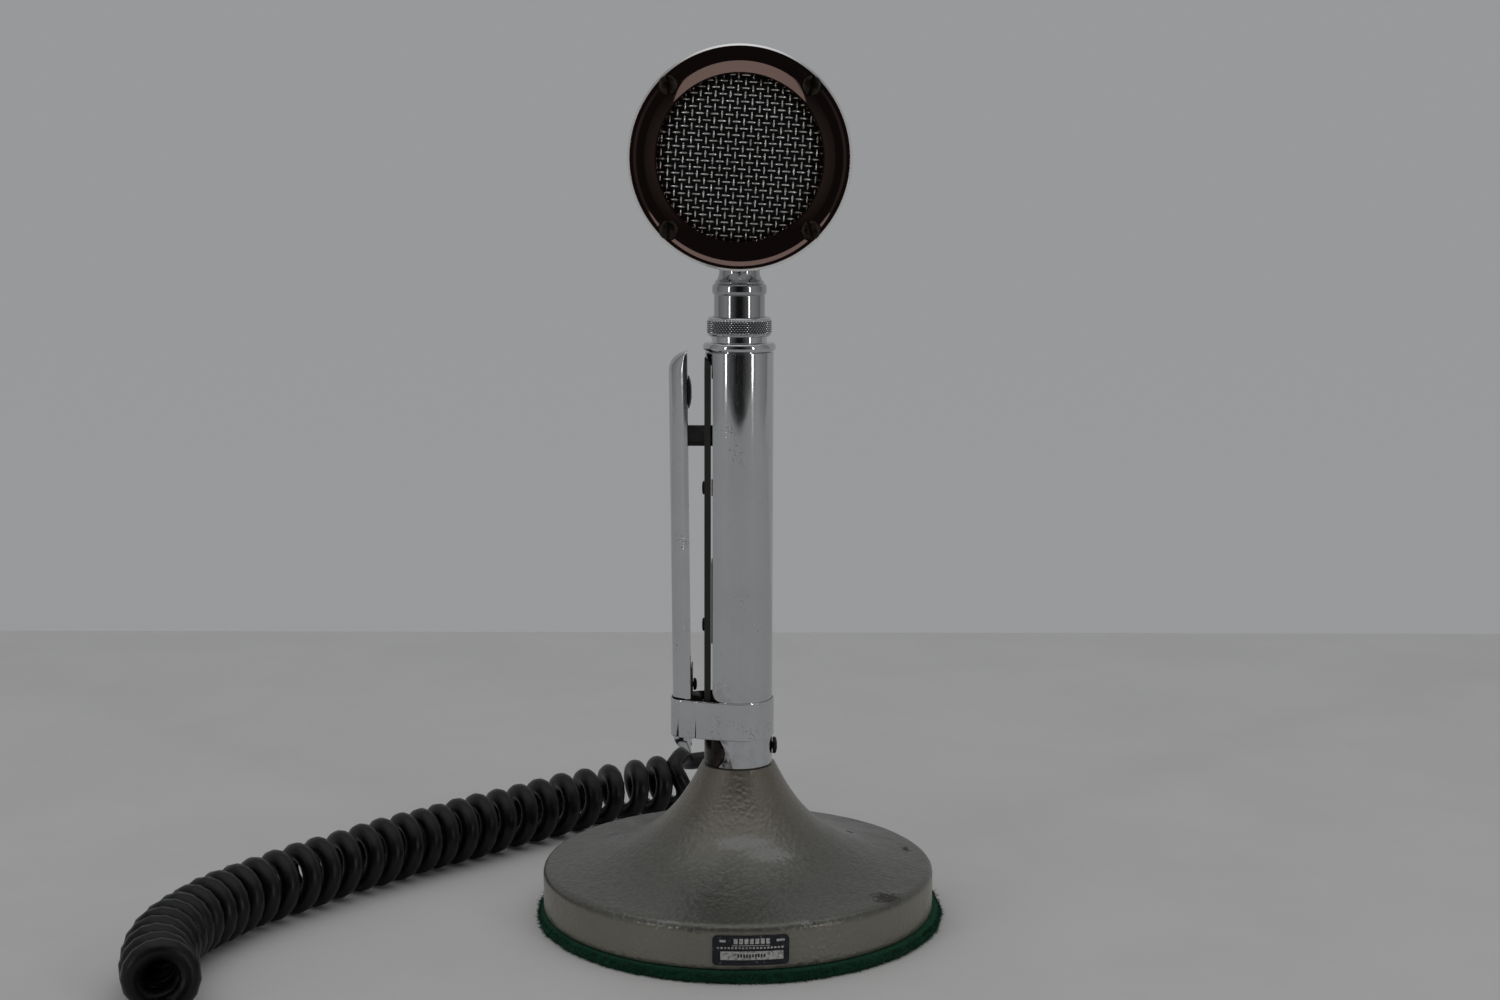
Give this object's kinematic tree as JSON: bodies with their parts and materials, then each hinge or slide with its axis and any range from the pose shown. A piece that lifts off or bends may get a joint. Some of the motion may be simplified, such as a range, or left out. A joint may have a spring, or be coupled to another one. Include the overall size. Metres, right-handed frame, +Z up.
{
  "type": "desktop microphone on a grip-to-talk stand",
  "caption": "Round chrome desk microphone plugged into a tube stand with a squeeze-to-talk bar, a sliding lock band, a bell-shaped weighted base and a coiled cord.",
  "frame": {"origin": "on the table, at the centre of the round base and under the column's axis", "axes": "+Z up; the microphone and the nameplate face -Y; the squeeze bar is on the -X side; the cord leaves at +Y"},
  "size_m": [0.2712, 0.3046, 0.305],
  "materials": {
    "chrome": "bright chrome plate",
    "ring_chrome": "polished dark chrome plate",
    "steel": "blued",
    "screws": "dark nickel, slotted heads",
    "brass": "plain",
    "wire": "bright nickel plate",
    "black": "black fibre and moulding",
    "cloth": "black cloth",
    "gasket": "soft black rubber",
    "phenolic": "dark brown phenolic",
    "bush": "glossy dark brown moulding",
    "paint": "grey hammer-finish enamel, chipped at the rim",
    "felt": "dark green felt",
    "plate": "navy enamel with plain silver print",
    "jacket": "black neoprene, satin"
  },
  "bodies": {
    "stand": {"base_casting": "paint", "felt_pad": "felt", "nameplate": "plate", "column_tube": "chrome", "column_screw": "screws", "top_collar": "chrome", "socket_insert": "phenolic", "cord_bush": "bush", "inner_cable": "black", "switch_strip": "black", "strip_screw_upper": "screws", "strip_screw_lower": "screws", "strip_nut": "brass", "contact_stack": "phenolic", "fixed_contact": "brass", "pivot_block": "black", "pivot_pin": "steel", "cord_lead": "jacket", "cord_coil": "jacket", "cord_tail": "jacket", "plug_boot": "black", "plug_handle": "black", "plug_shaft": "chrome"},
    "head": {"head_shell": "chrome", "face_ring": "ring_chrome", "face_screw_1": "screws", "face_screw_2": "screws", "face_screw_3": "screws", "face_screw_4": "screws", "mesh_grille": "wire", "grille_cloth": "cloth", "cartridge": "wire", "cartridge_gasket": "gasket", "neck_barrel": "chrome", "neck_nut": "steel", "head_plug_insert": "phenolic", "head_plug_pin_1": "brass", "head_plug_pin_2": "brass", "head_plug_pin_3": "brass"},
    "coupling": {"coupling_ring": "chrome"},
    "grip": {"grip_bar": "chrome", "bar_insert": "black", "bar_screw": "screws", "return_spring": "steel", "bar_bumper": "black"},
    "push": {"plunger": "black"},
    "contact": {"moving_contact": "brass"},
    "slide": {"lock_band": "chrome"}
  },
  "joints": [
    {"name": "head_lift", "type": "slide", "parent": "stand", "child": "head", "axis": [0, 0, 1], "range_m": [0, 0.03]},
    {"name": "coupling_turn", "type": "hinge", "parent": "head", "child": "coupling", "pos_m": [0, 0, 0.2098], "axis": [0, 0, 1], "continuous": true},
    {"name": "grip_squeeze", "type": "hinge", "parent": "stand", "child": "grip", "pos_m": [-0.0186, 0, 0.0695], "axis": [0, 1, 0], "range_deg": [0, 2], "stiffness_Nm_per_rad": 3, "springref_deg": -1.15},
    {"name": "plunger_slide", "type": "slide", "parent": "stand", "child": "push", "axis": [1, 0, 0], "range_m": [0, 0.0037]},
    {"name": "contact_flex", "type": "hinge", "parent": "stand", "child": "contact", "pos_m": [-0.0063, 0, 0.128], "axis": [0, 1, 0], "range_deg": [0, 4.8]},
    {"name": "band_lift", "type": "slide", "parent": "stand", "child": "slide", "axis": [0, 0, 1], "range_m": [0, 0.015]}
  ],
  "couplings": [
    {"joint": "plunger_slide", "follows": "grip_squeeze", "m_per_rad": 0.1023},
    {"joint": "contact_flex", "follows": "grip_squeeze", "ratio": 2.336}
  ]
}
